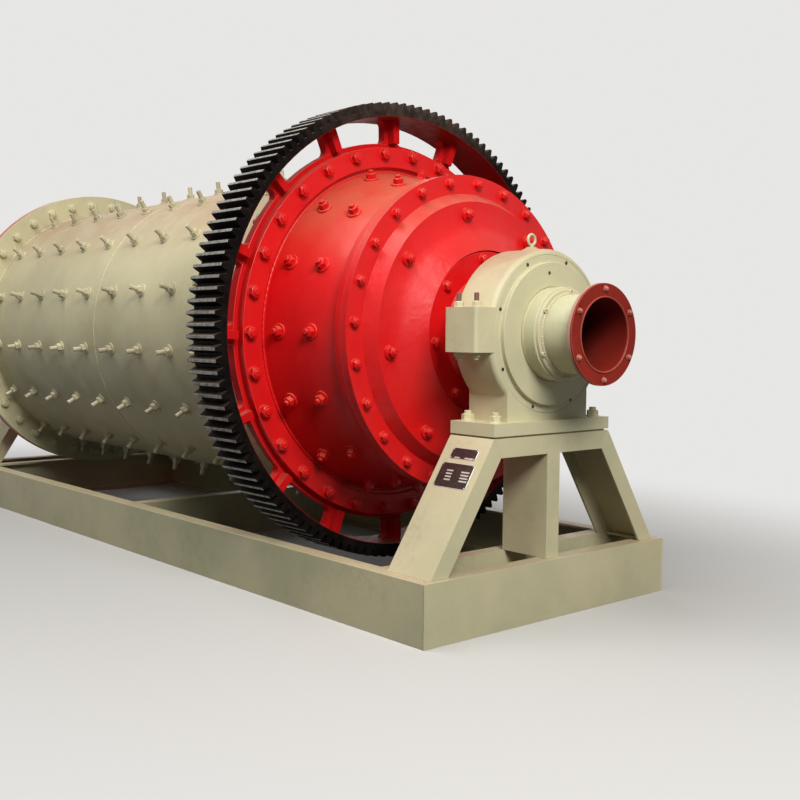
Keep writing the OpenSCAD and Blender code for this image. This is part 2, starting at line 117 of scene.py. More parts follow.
camera_data = bpy.data.cameras.new("camera")
camera_data.sensor_width = 36
camera_data.lens = 48.25
camera_data.clip_end = 200
camera = bpy.data.objects.new("camera", camera_data)
camera.matrix_world = (
    Matrix.Translation(camera_place)
    @ Matrix((right, up, back)).transposed().to_4x4()
)
bpy.context.collection.objects.link(camera)
bpy.context.scene.camera = camera
print("Camera", round((camera_place - Vector((0, 0, AXIS_Z))).length, 2), "m from the drum")

# %% [markdown]
# ## Small tools for node networks
#
# A look in Blender is a little network of nodes. The same steps come up again and
# again: give a socket its value, do a sum, or map one range of numbers to another.
# Each gets a short function, so that a floor or a finish reads like a recipe.

# %% Feed, combine, spread and pick
def feed(tree, socket, value):
    """Links a node's output to a socket, or sets the socket to a plain value."""
    if isinstance(value, bpy.types.NodeSocket):
        tree.links.new(value, socket)
    else:
        socket.default_value = value


def combine(tree, operation, first, second=0.0):
    """A sum of one or two values, such as MULTIPLY of two or SQRT of one."""
    node = tree.nodes.new("ShaderNodeMath")
    node.operation = operation
    feed(tree, node.inputs[0], first)
    feed(tree, node.inputs[1], second)
    return node.outputs[0]


def spread(tree, value, low, high, to_low=0.0, to_high=1.0, easing="SMOOTHSTEP"):
    """Maps low..high to to_low..to_high, clamped, with soft ends unless told otherwise."""
    node = tree.nodes.new("ShaderNodeMapRange")
    node.interpolation_type = easing
    feed(tree, node.inputs["Value"], value)
    for name, number in zip(("From Min", "From Max", "To Min", "To Max"),
                            (low, high, to_low, to_high)):
        node.inputs[name].default_value = number
    return node.outputs["Result"]


def pick(tree, amount, low, high):
    """low where the amount is 0, high where it is 1, and even steps between."""
    return spread(tree, amount, 0.0, 1.0, low, high, easing="LINEAR")


def new_finish(name):
    material = bpy.data.materials.new(name)
    material.use_nodes = True
    tree = material.node_tree
    return material, tree, tree.nodes["Principled BSDF"]


print("Tools: feed, combine, spread, pick and new_finish")

# %% [markdown]
# ## Floor, sky and lamps
#
# A studio is a pale floor, a pale surround and large soft lamps. The surround that
# the camera sees is nearly white, while the surround that lights the mill is dimmer:
# the Light Path node tells the two apart. The floor does the same, so that it looks
# pale but throws little light up under the mill, and far away it fades into the
# surround. The main lamps stand beyond the discharge end and over the mill. Faces
# turned that way are bright, and the drum's side falls off softly towards the floor.

# %% Light the studio
scene = bpy.context.scene
scene.view_settings.view_transform = "Standard"
SURROUND = (0.80, 0.795, 0.78, 1)


def seen_by_eye(tree):
    """1 for camera, gloss and glass rays, 0 for the rays that only carry light."""
    path = tree.nodes.new("ShaderNodeLightPath")
    any_ray = path.outputs["Is Camera Ray"]
    for kind in ("Is Glossy Ray", "Is Transmission Ray"):
        any_ray = combine(tree, "MAXIMUM", any_ray, path.outputs[kind])
    return any_ray


def build_surround(lit):
    """A sky that looks pale, and lights the mill with the strength lit."""
    world = bpy.data.worlds.new("surround")
    world.use_nodes = True
    scene.world = world
    tree = world.node_tree
    background = tree.nodes["Background"]
    background.inputs["Color"].default_value = SURROUND
    feed(tree, background.inputs["Strength"], pick(tree, seen_by_eye(tree), lit, 1.0))


def soft_lamp(name, place, target, size, watts, colour=(1, 1, 1)):
    data = bpy.data.lights.new(name, "AREA")
    data.shape = "RECTANGLE"
    data.size, data.size_y = size
    data.energy = watts
    data.color = colour
    lamp = bpy.data.objects.new(name, data)
    lamp.location = place
    lamp.rotation_mode = "QUATERNION"
    lamp.rotation_quaternion = (Vector(target) - Vector(place)).to_track_quat("-Z", "Y")
    bpy.context.collection.objects.link(lamp)


build_surround(lit=0.12)
soft_lamp("key", place=(6.9, -2.4, 5.0), target=(2.1, 0, 1.2), size=(2.8, 2.4),
          watts=465, colour=(1, 0.98, 0.94))
soft_lamp("roof", place=(0.7, -2.6, 6.1), target=(0.7, 0, 1), size=(7, 2.5),
          watts=295, colour=(1, 0.985, 0.96))
soft_lamp("far_fill", place=(-5.0, 5.0, 4.0), target=(-0.5, 0, 1), size=(4, 3), watts=120)

# %% Lay the floor
def floor_finish(pale, dim, fade_from, fade_to):
    """A pale matt floor that fades into the surround, in an oval round the mill."""
    material, tree, shader = new_finish("pale_floor")
    shader.inputs["Roughness"].default_value = 0.9
    shader.inputs["Specular IOR Level"].default_value = 0.1
    eye = seen_by_eye(tree)
    shade = tree.nodes.new("ShaderNodeCombineColor")
    for channel, warm in (("Red", 1.0), ("Green", 0.99), ("Blue", 0.97)):
        feed(tree, shade.inputs[channel], pick(tree, eye, dim * warm, pale * warm))
    feed(tree, shader.inputs["Base Color"], shade.outputs["Color"])
    glow = tree.nodes.new("ShaderNodeEmission")
    glow.inputs["Color"].default_value = SURROUND
    place = tree.nodes.new("ShaderNodeTexCoord")
    oval = tree.nodes.new("ShaderNodeVectorMath")
    oval.operation = "MULTIPLY"
    oval.inputs[1].default_value = (0.6, 1, 1)
    feed(tree, oval.inputs[0], place.outputs["Object"])
    length = tree.nodes.new("ShaderNodeVectorMath")
    length.operation = "LENGTH"
    feed(tree, length.inputs[0], oval.outputs["Vector"])
    fade = spread(tree, length.outputs["Value"], fade_from, fade_to, easing="SMOOTHERSTEP")
    mix = tree.nodes.new("ShaderNodeMixShader")
    feed(tree, mix.inputs["Fac"], combine(tree, "MULTIPLY", fade, eye))
    feed(tree, mix.inputs[1], shader.outputs["BSDF"])
    feed(tree, mix.inputs[2], glow.outputs["Emission"])
    feed(tree, tree.nodes["Material Output"].inputs["Surface"], mix.outputs["Shader"])
    return material


floor_size = 120
floor_mesh = bpy.data.meshes.new("floor")
floor_mesh.from_pydata(
    [(x * floor_size, y * floor_size, 0) for x, y in ((-1, -1), (1, -1), (1, 1), (-1, 1))],
    [], [(0, 1, 2, 3)],
)
floor_mesh.materials.append(floor_finish(pale=0.54, dim=0.08, fade_from=1.3, fade_to=4.3))
floor = bpy.data.objects.new("floor", floor_mesh)
bpy.context.collection.objects.link(floor)
print("Floor:", 2 * floor_size, "m wide")

# %% [markdown]
# ## Small tools for finishes
#
# A finish mixes a few more steps: a field of noise, a tint of one colour over
# another and a bump. All noise is taken from Object coordinates, which turn with the
# drum. A zone is picked by how far a point is from the axis or along the mill, or by
# how much its surface faces up.

# %% Noise, tint and bump
def noise(tree, scale, detail=3, roughness=0.55, stretch=(1, 1, 1)):
    place = tree.nodes.new("ShaderNodeTexCoord")
    mapping = tree.nodes.new("ShaderNodeMapping")
    mapping.inputs["Scale"].default_value = stretch
    feed(tree, mapping.inputs["Vector"], place.outputs["Object"])
    field = tree.nodes.new("ShaderNodeTexNoise")
    field.inputs["Scale"].default_value = scale
    field.inputs["Detail"].default_value = detail
    field.inputs["Roughness"].default_value = roughness
    feed(tree, field.inputs["Vector"], mapping.outputs["Vector"])
    return field.outputs["Fac"]


def tint(tree, amount, under, over):
    """Colour over, laid on colour under by an amount from 0 to 1."""
    node = tree.nodes.new("ShaderNodeMix")
    node.data_type = "RGBA"
    feed(tree, node.inputs["Factor"], amount)
    sockets = [socket for socket in node.inputs if socket.type == "RGBA"]
    for socket, colour in zip(sockets, (under, over)):
        feed(tree, socket, (*colour, 1.0) if isinstance(colour, tuple) else colour)
    return next(socket for socket in node.outputs if socket.type == "RGBA")


def bump(tree, height, distance, strength=1.0, under=None):
    node = tree.nodes.new("ShaderNodeBump")
    node.inputs["Strength"].default_value = strength
    node.inputs["Distance"].default_value = distance
    feed(tree, node.inputs["Height"], height)
    if under is not None:
        feed(tree, node.inputs["Normal"], under)
    return node.outputs["Normal"]


print("Tools: noise, tint and bump")

# %% Zones of a finish
def coordinate(tree, kind, axis):
    """One axis of the Object coordinates, or of the Normal, as a number."""
    place = tree.nodes.new("ShaderNodeTexCoord")
    split = tree.nodes.new("ShaderNodeSeparateXYZ")
    feed(tree, split.inputs["Vector"], place.outputs[kind])
    return split.outputs[axis]


def from_axis(tree):
    """How far a point is from the drum's axis."""
    across = coordinate(tree, "Object", "Y")
    height = combine(tree, "SUBTRACT", coordinate(tree, "Object", "Z"), AXIS_Z)
    squares = [combine(tree, "MULTIPLY", side, side) for side in (across, height)]
    return combine(tree, "SQRT", combine(tree, "ADD", *squares))


def from_middle(tree):
    """How far along the mill a point is from its middle, towards either end."""
    return combine(tree, "ABSOLUTE", coordinate(tree, "Object", "X"))


def facing_up(tree, low, high):
    """0 on walls and undersides, 1 on what faces up while the mill stands at rest."""
    return spread(tree, coordinate(tree, "Normal", "Z"), low, high)


print("Zones: from_axis, from_middle and facing_up")

# %% [markdown]
# ## Brushed and sprayed enamel
#
# Heavy machines are sprayed with one coat of enamel over filler. Seen close, the
# coat is never one colour: it clouds over a hand's width, runs down a little, holds
# dust, and has the fine dimples called orange peel. One recipe with a few settings
# serves the grey-green enamel, the red enamel and the primer.

# %% Enamel recipe
def enamel(name, colour, shade, dust, roughness, peel=0.3, waves=1, gloss=0.4, grime=0.25,
           top_dust_and_sheen=None):
    """A coat whose colour clouds over to shade, with smears and specks of dust on it.

    peel is the height of the orange peel and waves that of the filler, both in mm.
    gloss is the specular level and grime the strength of the smears. The last setting
    is the colour laid on upward faces, if there is any: settled dust, and on the red
    enamels partly a painted sky reflection as well.
    """
    material, tree, shader = new_finish(name)
    clouds = spread(tree, noise(tree, 1.7, 4), 0.35, 0.72)
    paint = tint(tree, clouds, colour, shade)
    runs = spread(tree, noise(tree, 9, 4, 0.6, stretch=(1, 1, 0.10)), 0.52, 0.85, 0, 0.35)
    paint = tint(tree, runs, paint, shade)
    # Upward faces take a top colour: settled dust, and on the red enamels partly a painted sky
    # reflection.
    if top_dust_and_sheen:
        patches = spread(tree, noise(tree, 4.5, 5, 0.65), 0.25, 0.70, 0.45, 0.95)
        top = combine(tree, "MULTIPLY", facing_up(tree, 0.30, 0.97), patches)
        paint = tint(tree, top, paint, top_dust_and_sheen)
    smears = combine(tree, "MULTIPLY",
                     spread(tree, noise(tree, 3.1, 5, 0.7), 0.45, 0.75),
                     spread(tree, noise(tree, 38, 5, 0.75), 0.40, 0.70, 0, grime))
    paint = tint(tree, smears, paint, dust)
    specks = spread(tree, noise(tree, 150, 2, 0.5), 0.70, 0.76, 0, 0.5)
    feed(tree, shader.inputs["Base Color"], tint(tree, specks, paint, dust))
    sheen = spread(tree, noise(tree, 6, 4, 0.6), 0.3, 0.7, roughness - 0.06, roughness + 0.10)
    feed(tree, shader.inputs["Roughness"], combine(tree, "ADD", sheen, smears))
    shader.inputs["Specular IOR Level"].default_value = gloss
    filler = bump(tree, noise(tree, 7), waves * MM)
    feed(tree, shader.inputs["Normal"], bump(tree, noise(tree, 330, 2), peel * MM, 0.6, filler))
    return material


# %% Mix the grey-green enamels
CREAM = (0.600, 0.555, 0.355)
GREY_DUST = (0.27, 0.22, 0.14)
grey_enamel = enamel(
    "grey_green_enamel", CREAM, shade=(0.500, 0.485, 0.310), dust=GREY_DUST,
    roughness=0.42, peel=0.5, waves=2.5)
shell_enamel = enamel(
    "grey_green_enamel_on_drum", CREAM, shade=(0.490, 0.450, 0.280), dust=GREY_DUST,
    roughness=0.46, peel=0.5, waves=2.5, gloss=0.3, top_dust_and_sheen=(0.38, 0.245, 0.150))
# Darker and blotchier than the drum's enamel: partly grime on the bolts, partly painted shade.
bolt_enamel = enamel(
    "grey_green_enamel_on_bolts", (0.545, 0.500, 0.330), shade=(0.350, 0.310, 0.200),
    dust=(0.20, 0.145, 0.09), roughness=0.36, gloss=0.5, grime=0.75)
frame_enamel = enamel(
    "grey_green_enamel_on_frame", (0.590, 0.538, 0.345), shade=(0.455, 0.445, 0.285),
    dust=(0.26, 0.20, 0.125), roughness=0.46, peel=0.5, waves=2.5, gloss=0.3,
    grime=0.4, top_dust_and_sheen=(0.44, 0.350, 0.225))
grey_edge = enamel(
    "grey_green_enamel_edges", (0.60, 0.55, 0.375), shade=(0.50, 0.45, 0.29),
    dust=(0.22, 0.18, 0.12), roughness=0.38)
print("Grey-green enamels:", [m.name for m in bpy.data.materials if "green" in m.name])

# %% Mix the red enamels and the primer
RED, DEEP_RED = (0.665, 0.007, 0.008), (0.60, 0.005, 0.007)
RED_DUST = (0.30, 0.03, 0.02)
# The reds' top colours are pale salmon: settled dust, and partly a painted sky reflection.
red_enamel = enamel(
    "red_enamel", RED, shade=DEEP_RED, dust=RED_DUST, roughness=0.36, peel=0.4,
    waves=2.5, gloss=0.35, top_dust_and_sheen=(0.50, 0.135, 0.075))
red_edge = enamel(
    "red_enamel_edges", (0.80, 0.022, 0.018), shade=(0.70, 0.012, 0.012),
    dust=(0.26, 0.03, 0.02), roughness=0.34)
# A darker, duller copy of the red enamel for the parts set back inside and behind the gear:
# painted shade.
shaded_gear_red = enamel(
    "red_enamel_on_gear", (0.600, 0.006, 0.008), shade=(0.460, 0.004, 0.005),
    dust=(0.24, 0.03, 0.02), roughness=0.52, peel=0.8, waves=5, gloss=0.12,
    top_dust_and_sheen=(0.42, 0.100, 0.060))
cast_red = enamel(
    "red_enamel_on_casting", RED, shade=(0.62, 0.005, 0.007), dust=RED_DUST,
    roughness=0.38, peel=1.1, waves=6, gloss=0.38, top_dust_and_sheen=(0.47, 0.110, 0.068))
neck_red = enamel(
    "red_enamel_on_necks", RED, shade=DEEP_RED, dust=RED_DUST, roughness=0.36,
    peel=0.4, waves=2, gloss=0.35)
oxide_primer = enamel(
    "red_oxide_primer", (0.270, 0.022, 0.012), shade=(0.20, 0.015, 0.009),
    dust=(0.30, 0.08, 0.05), roughness=0.58, peel=0.4, waves=1.5, gloss=0.12)
oxide_edge = enamel(
    "red_oxide_primer_edges", (0.40, 0.075, 0.050), shade=(0.29, 0.04, 0.026),
    dust=(0.35, 0.12, 0.08), roughness=0.45, gloss=0.3)
# The outlet nuts' pale pinkish oxide, lightened further as a painted highlight.
pale_highlit_oxide = enamel(
    "red_oxide_primer_on_nuts", (0.52, 0.180, 0.120), shade=(0.36, 0.075, 0.050),
    dust=(0.60, 0.42, 0.33), roughness=0.38, gloss=0.5, grime=0.6)
print("Red finishes:", [m.name for m in bpy.data.materials if m.name.startswith("red")])

# %% [markdown]
# ## One coat over another
#
# Some pieces change colour where no edge is. The trunnion is red up to the bearing and
# cream past it. The outlet's bore gets painted shade, darker the deeper one looks, in
# place of the shadow inside the tube. The rim of its flange caught a ragged edge of the
# cream spray. Each is a second colour laid over a finished coat inside a zone.

# %% Lay the second coats
BLUR = 1 * MM


def overpaint(material, zone, colour):
    """Lays a colour over a finish, by an amount from 0 to 1 worked out in its tree."""
    tree = material.node_tree
    base = tree.nodes["Principled BSDF"].inputs["Base Color"]
    feed(tree, base, tint(tree, zone, base.links[0].from_socket, colour))


def painted_beyond(material, limit, colour):
    """Sprays a colour on both ends of the mill, past a limit along the axis."""
    tree = material.node_tree
    overpaint(material, spread(tree, from_middle(tree), limit - BLUR, limit + BLUR), colour)


def paint_shade_within(material, radius, face, depth, colour):
    """Paints shade into a bore, darker and darker over a depth behind the end face."""
    tree = material.node_tree
    inside = spread(tree, from_axis(tree), radius + BLUR, radius - BLUR)
    deeper = spread(tree, from_middle(tree), face, face - depth, 0.15, 0.97)
    overpaint(material, combine(tree, "MULTIPLY", inside, deeper), colour)


def oversprayed(material, radius, limit, ragged, colour):
    """Sprays a colour round the rim of a flange, up to a ragged limit near its face."""
    tree = material.node_tree
    rim = spread(tree, from_axis(tree), radius - BLUR, radius + BLUR)
    edge = combine(tree, "MULTIPLY", noise(tree, 14), ragged)
    reach = combine(tree, "ADD", from_middle(tree), edge)
    mean_edge = limit + ragged / 2
    behind = spread(tree, reach, mean_edge + BLUR / 2, mean_edge - BLUR / 2)
    overpaint(material, combine(tree, "MULTIPLY", behind, rim), colour)


seal_face = highest("bearing_front_cover_discharge").x
outlet_face = highest("spout_discharge").x
bore_radius = 0.147
cream_start = seal_face - 6 * MM
painted_beyond(neck_red, cream_start, CREAM)
# Painted shade in the outlet's bore: near black, and darker the deeper in.
paint_shade_within(oxide_primer, bore_radius + 1.5 * MM, outlet_face, depth=0.36,
            colour=(0.014, 0.002, 0.002))
for flange_paint in (oxide_primer, oxide_edge):
    oversprayed(flange_paint, outer_radius("spout_discharge"), outlet_face - 7 * MM,
                ragged=4 * MM, colour=(0.62, 0.47, 0.36))
print("Necks turn cream at x =", round(cream_start, 3))

# %% [markdown]
# ## The finish of the girth gear
#
# The gear is the one part left unpainted outside: its flanks are black with oil, the
# turned tips carry a painted highlight, a bright half-metallic band, and only the
# inside of the rim is red, since it was sprayed with the spokes; that red is darkened
# as painted shade from the rim. All three are zones of the distance from the axis,
# so one finish works that distance out and picks a zone by it. Dust is a fourth
# layer: it lies on faces that look up. A brown-grey tint also grows with height, so
# the gear is greyer the higher it goes.

# %% Gear finish
gear_tip = outer_radius("girth_gear")
rim_inside = outer_radius("gear_spokes")
GREYING_FROM = 0.80


def oiled_gear():
    material, tree, shader = new_finish("oiled_gear_steel")
    oil = spread(tree, noise(tree, 12, 5, 0.65), 0.35, 0.7)
    steel = tint(tree, oil, (0.004, 0.003, 0.003), (0.011, 0.008, 0.007))
    grease = spread(tree, noise(tree, 45, 4, 0.7), 0.55, 0.72, 0, 0.6)
    steel = tint(tree, grease, steel, (0.030, 0.020, 0.015))
    radius = from_axis(tree)
    # The red inside the rim is darkened: painted shade from the rim around it.
    painted = spread(tree, radius, rim_inside + 3 * MM, rim_inside + 1 * MM)
    steel = tint(tree, painted, steel, (0.25, 0.006, 0.006))
    dust = combine(tree, "MULTIPLY", facing_up(tree, 0.55, 1.0),
                   spread(tree, noise(tree, 8, 5, 0.7), 0.30, 0.70, 0.15, 0.65))
    steel = tint(tree, dust, steel, (0.200, 0.145, 0.105))
    # A brown-grey tint that grows with height, so the upper part of the gear is greyer.
    height = coordinate(tree, "Object", "Z")
    greying = combine(tree, "MULTIPLY",
                   spread(tree, height, AXIS_Z + GREYING_FROM, AXIS_Z + gear_tip),
                   spread(tree, noise(tree, 18, 5, 0.7), 0.25, 0.75, 0.05, 0.55))
    steel = tint(tree, greying, steel, (0.120, 0.080, 0.062))
    # Painted highlight: a bright, half-metallic band along the tooth tips.
    brightened = combine(tree, "MULTIPLY",
                   spread(tree, radius, gear_tip - 1.6 * MM, gear_tip - 0.4 * MM),
                   spread(tree, noise(tree, 60, 4, 0.7), 0.30, 0.60, 0.35, 1))
    steel = tint(tree, brightened, steel, (0.31, 0.295, 0.275))
    feed(tree, shader.inputs["Base Color"], steel)
    feed(tree, shader.inputs["Metallic"], combine(tree, "MULTIPLY", brightened, 0.55))
    feed(tree, shader.inputs["Roughness"], spread(tree, noise(tree, 25, 4), 0.3, 0.7, 0.42, 0.6))
    shader.inputs["Specular IOR Level"].default_value = 0.03
    feed(tree, shader.inputs["Normal"], bump(tree, noise(tree, 90, 4, 0.6), 0.6 * MM))
    return material


gear_steel = oiled_gear()
print("Gear zones: tips at", round(gear_tip, 3), "m, red inside", round(rim_inside, 3), "m")

# %% [markdown]
# ## Softened edges
#
# No real edge is perfectly sharp, and a rounded edge catches a thin line of light.
# A Bevel modifier rounds the CAD solids' edges without touching their meshes, and
# its material setting gives the new faces a finish of their own: thinner, brighter
# paint, as it is where paint pulls back from a corner. The import keeps hard shading
# normals, so a small Geometry Nodes modifier welds the mesh and shades it afresh.

# %% Weld and shade
SHARP_ANGLE = math.radians(32)


def shading_group():
    """Welds the points, drops imported normals and marks the sharp edges."""
    group = bpy.data.node_groups.new("weld_and_shade", "GeometryNodeTree")
    group.interface.new_socket("Geometry", in_out="INPUT", socket_type="NodeSocketGeometry")
    group.interface.new_socket("Geometry", in_out="OUTPUT", socket_type="NodeSocketGeometry")
    nodes, links = group.nodes, group.links
    drop = nodes.new("GeometryNodeRemoveAttribute")
    drop.inputs["Name"].default_value = "custom_normal"
    weld = nodes.new("GeometryNodeMergeByDistance")
    weld.inputs["Distance"].default_value = 0.02 * MM
    smooth_faces = nodes.new("GeometryNodeSetShadeSmooth")
    sharp_edges = nodes.new("GeometryNodeSetShadeSmooth")
    sharp_edges.domain = "EDGE"
    sharp_edges.inputs["Shade Smooth"].default_value = False
    angle = nodes.new("GeometryNodeInputMeshEdgeAngle")
    over = nodes.new("FunctionNodeCompare")
    over.operation = "GREATER_THAN"
    over.inputs["B"].default_value = SHARP_ANGLE
    chain = [nodes.new("NodeGroupInput"), drop, weld, smooth_faces, sharp_edges,
             nodes.new("NodeGroupOutput")]
    for before, after in zip(chain, chain[1:]):
        links.new(before.outputs[0], after.inputs[0])
    links.new(angle.outputs["Unsigned Angle"], over.inputs["A"])
    links.new(over.outputs["Result"], sharp_edges.inputs["Selection"])
    return group


weld_and_shade = shading_group()
print("Shading group:", len(weld_and_shade.nodes), "nodes")

# %% Dress the CAD nodes
def dress(nodes, finish, edge_finish, edge):
    """Gives CAD nodes a finish, and rounds their edges by the width edge."""
    for node in nodes:
        solid = frame["nodes"][node]
        solid.data.materials.clear()
        solid.data.materials.append(finish)
        solid.data.materials.append(edge_finish)
        solid.modifiers.new("shading", "NODES").node_group = weld_and_shade
        bevel = solid.modifiers.new("edges", "BEVEL")
        bevel.width = edge
        bevel.segments = 2
        bevel.limit_method = "ANGLE"
        bevel.angle_limit = SHARP_ANGLE
        bevel.material = 1
        bevel.harden_normals = True


def both_ends(*names):
    return [f"{name}_{end}" for name in names for end in ("discharge", "feed")]


frame_beams = ["side_beam_left", "side_beam_right", "middle_beam",
               *both_ends("end_beam", "sill_beam")]
stands = both_ends("stand_top", "stand_left_leg", "stand_right_leg", "stand_post")
dress(frame_beams + stands, frame_enamel, grey_edge, 2.0 * MM)
dress(both_ends("bearing_base"), grey_enamel, grey_enamel, 5 * MM)
dress(both_ends("bearing_cap"), shell_enamel, shell_enamel, 7 * MM)
dress(both_ends("bearing_front_cover", "bearing_back_cover"), grey_enamel, grey_edge, 3 * MM)
dress(both_ends("lifting_eye", "nose"), grey_enamel, grey_edge, 1.5 * MM)
dress([*both_ends("shell_strake"), "shell_flange_feed"], shell_enamel, grey_edge, 2 * MM)
dress(["shell_flange_gear", "gear_hub", "gear_spokes"], shaded_gear_red, red_edge, 3 * MM)
dress(["cone_section", *both_ends("trunnion_flange")], red_enamel, red_edge, 3 * MM)
dress(both_ends("end_cover"), cast_red, red_edge, 5 * MM)
dress(both_ends("trunnion"), neck_red, neck_red, 1.5 * MM)
dress(both_ends("spout"), oxide_primer, oxide_edge, 2 * MM)
dress(["girth_gear"], gear_steel, gear_steel, 1.5 * MM)
undressed = [n for n, o in frame["nodes"].items() if not o.modifiers]
print("CAD nodes dressed:", len(frame["nodes"]) - len(undressed), "left over:", undressed)

# %% [markdown]
# ## A bolt from rings
#
# A bolt end seen from outside is a washer, a nut and the tail of a stud, all round
# one axis. It can be drawn as a stack of rings, each with the same number of points:
# circles for the washer and the stud, hexagons for the nut. Quads join one ring to
# the next, so the bolt is one closed skin and costs few faces. Every skin starts a
# little inside the metal that it sits on, so that no gap shows under it. Bolts are
# sold in millimetres, and these two functions take their sizes that way too.

# %% Rings and skins
RING_POINTS = 24
SUNK = -2 * MM


def circle(radius, height):
    steps = (2 * math.pi * i / RING_POINTS for i in range(RING_POINTS))
    return [(radius * math.cos(a), radius * math.sin(a), height) for a in steps]


def hexagon(across_flats, height, drop=0.0):
    """A hexagon; its corners lie lower by drop, as on the chamfered side of a nut."""
    points = []
    for i in range(RING_POINTS):
        a = 2 * math.pi * i / RING_POINTS
        off_flat = (a + math.pi / 6) % (math.pi / 3) - math.pi / 6
        radius = across_flats / 2 / math.cos(off_flat)
        corner = (1 / math.cos(off_flat) - 1) / (1 / math.cos(math.pi / 6) - 1)
        points.append((radius * math.cos(a), radius * math.sin(a), height - drop * corner))
    return points


def skin(rings):
    """Joins a stack of rings into one closed skin of points and faces."""
    count = len(rings[0])
    points = [p for ring in rings for p in ring]
    faces = [tuple(reversed(range(count)))]
    for level in range(len(rings) - 1):
        for i in range(count):
            j = (i + 1) % count
            low, high = level * count, (level + 1) * count
            faces.append((low + i, low + j, high + j, high + i))
    faces.append(tuple(range((len(rings) - 1) * count, len(rings) * count)))
    return points, faces


def bolt_end(flats, washer, thick, nut, stud, tail):
    """Washer, nut and stud tail: flats is the nut's width, thick the washer's thickness,
    nut the nut's height and tail the whole height of the stud."""
    flats, washer, thick, nut, stud, tail = (
        size * MM for size in (flats, washer, thick, nut, stud, tail))
    nut_top = thick + nut
    slant = 0.3 * thick
    return skin([
        circle(washer, SUNK), circle(washer, thick - slant),
        circle(washer - slant, thick), hexagon(flats, thick),
        hexagon(flats, nut_top - 1 * MM, drop=0.07 * flats),
        circle(0.46 * flats, nut_top), circle(stud, nut_top),
        circle(stud, tail - 2 * MM), circle(stud - 2 * MM, tail),
    ])


def socket_screw(head, height, socket):
    """A round head with a hexagon socket in it."""
    head, height, socket, chamfer = (size * MM for size in (head, height, socket, 1.5))
    return skin([
        circle(head, SUNK), circle(head, height - chamfer),
        circle(head - chamfer, height), hexagon(socket, height),
        hexagon(0.98 * socket, 0.35 * height),
    ])


print("Rings of", RING_POINTS, "points")

# %% [markdown]
# ## Laying out copies
#
# A mill has hundreds of bolts. Each copy is placed by a matrix that stands it on the
# surface, and all copies of a group are joined into one mesh. A fitter never leaves
# two nuts at the same angle, so a seeded random turn is given to each of them.

# %% Pieces and places
HALF_TURN = Matrix.Rotation(math.pi, 4, "Z")
wobble = random.Random(11)


def any_turn():
    return wobble.uniform(0, math.pi / 3)


def facing(place, outward, along=ALONG, turn=0.0):
    """A matrix that stands local Z on outward at a place, turned about it."""
    z = outward.normalized()
    x = (along - z * along.dot(z)).normalized()
    axes = Matrix((x, z.cross(x), z)).transposed().to_4x4()
    return Matrix.Translation(place) @ axes @ Matrix.Rotation(turn, 4, "Z")


def ring_of(count, first, x, radius, side=1):
    """Places on a circle about the drum's axis, facing +X (side 1) or -X (side -1)."""
    angles = [first + i * 360 / count for i in range(count)]
    return [facing(on_drum(x, radius, angle), ALONG * side, away_from_axis(angle), any_turn())
            for angle in angles]


def at_both_ends(places):
    """The places, and the same again at the feed end."""
    return places + [HALF_TURN @ place for place in places]


def moved(shape, place):
    """A copy of a skin, moved by a matrix."""
    return [place @ Vector(p) for p in shape[0]], shape[1]


def joined(shapes):
    """Many skins as one list of points and one of faces."""
    points, faces = [], []
    for more_points, more_faces in shapes:
        start = len(points)
        points += more_points
        faces += [tuple(start + i for i in face) for face in more_faces]
    return points, faces


def add_piece(name, shapes, finish, body, sharp=35):
    """One mesh of many skins, which rides on a body."""
    points, faces = joined(shapes)
    mesh = bpy.data.meshes.new(name)
    mesh.from_pydata([tuple(p) for p in points], [], faces)
    mesh.materials.append(finish)
    mesh.shade_smooth()
    mesh.set_sharp_from_angle(angle=math.radians(sharp))
    piece = bpy.data.objects.new(name, mesh)
    bpy.context.collection.objects.link(piece)
    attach(piece, body)
    print(f"{name}: {len(shapes)} skins, {len(faces)} faces")


def lay_out(name, shape, places, finish, body):
    add_piece(name, [moved(shape, place) for place in places], finish, body)


print("Half a turn takes x = 1 to x =", round((HALF_TURN @ ALONG).x))

# %% [markdown]
# ## Liner bolts
#
# Wear plates line the drum, and every one is held by a bolt that comes out through
# the shell. They give a mill its studded look: sixteen rows along the shell with ten
# bolts in each, and two rings of fifteen on the cone. The studs are longer than they
# need be, so their tails stand well clear of the nuts.

# %% Fit the shell's liner bolts
ROWS, ROW_TURN = 16, 7.5
PER_ROW, PITCH, ROW_MIDDLE = 10, 0.317, -0.231
liner_bolt = bolt_end(flats=42, washer=33, thick=7, nut=24, stud=12.5, tail=74)
liner_places = []
for row in range(ROWS):
    degrees = ROW_TURN + row * 360 / ROWS
    for i in range(PER_ROW):
        x = ROW_MIDDLE + (i - (PER_ROW - 1) / 2) * PITCH
        liner_places.append(facing(on_drum(x, shell_radius, degrees),
                                   away_from_axis(degrees), turn=any_turn()))
lay_out("shell_liner_bolts", liner_bolt, liner_places, bolt_enamel, "drum")

# %% Fit the cone's liner bolts
WEB_PLATE, JOINT_PLATE, GROOVE_DEPTH, FLANGE_PLATE = 0.045, 0.045, 0.025, 0.040
CONE_STEP, CONE_TAPER = 0.025, 0.124
cone_back = shell_end + WEB_PLATE + JOINT_PLATE
cone_start = cone_back - GROOVE_DEPTH
cone_front = lowest("end_cover_discharge").x - FLANGE_PLATE
cone_large, cone_small = shell_radius - CONE_STEP, shell_radius - CONE_TAPER
cone_slope = (cone_large - cone_small) / (cone_front - cone_start)
cone_lean = math.atan(cone_slope)

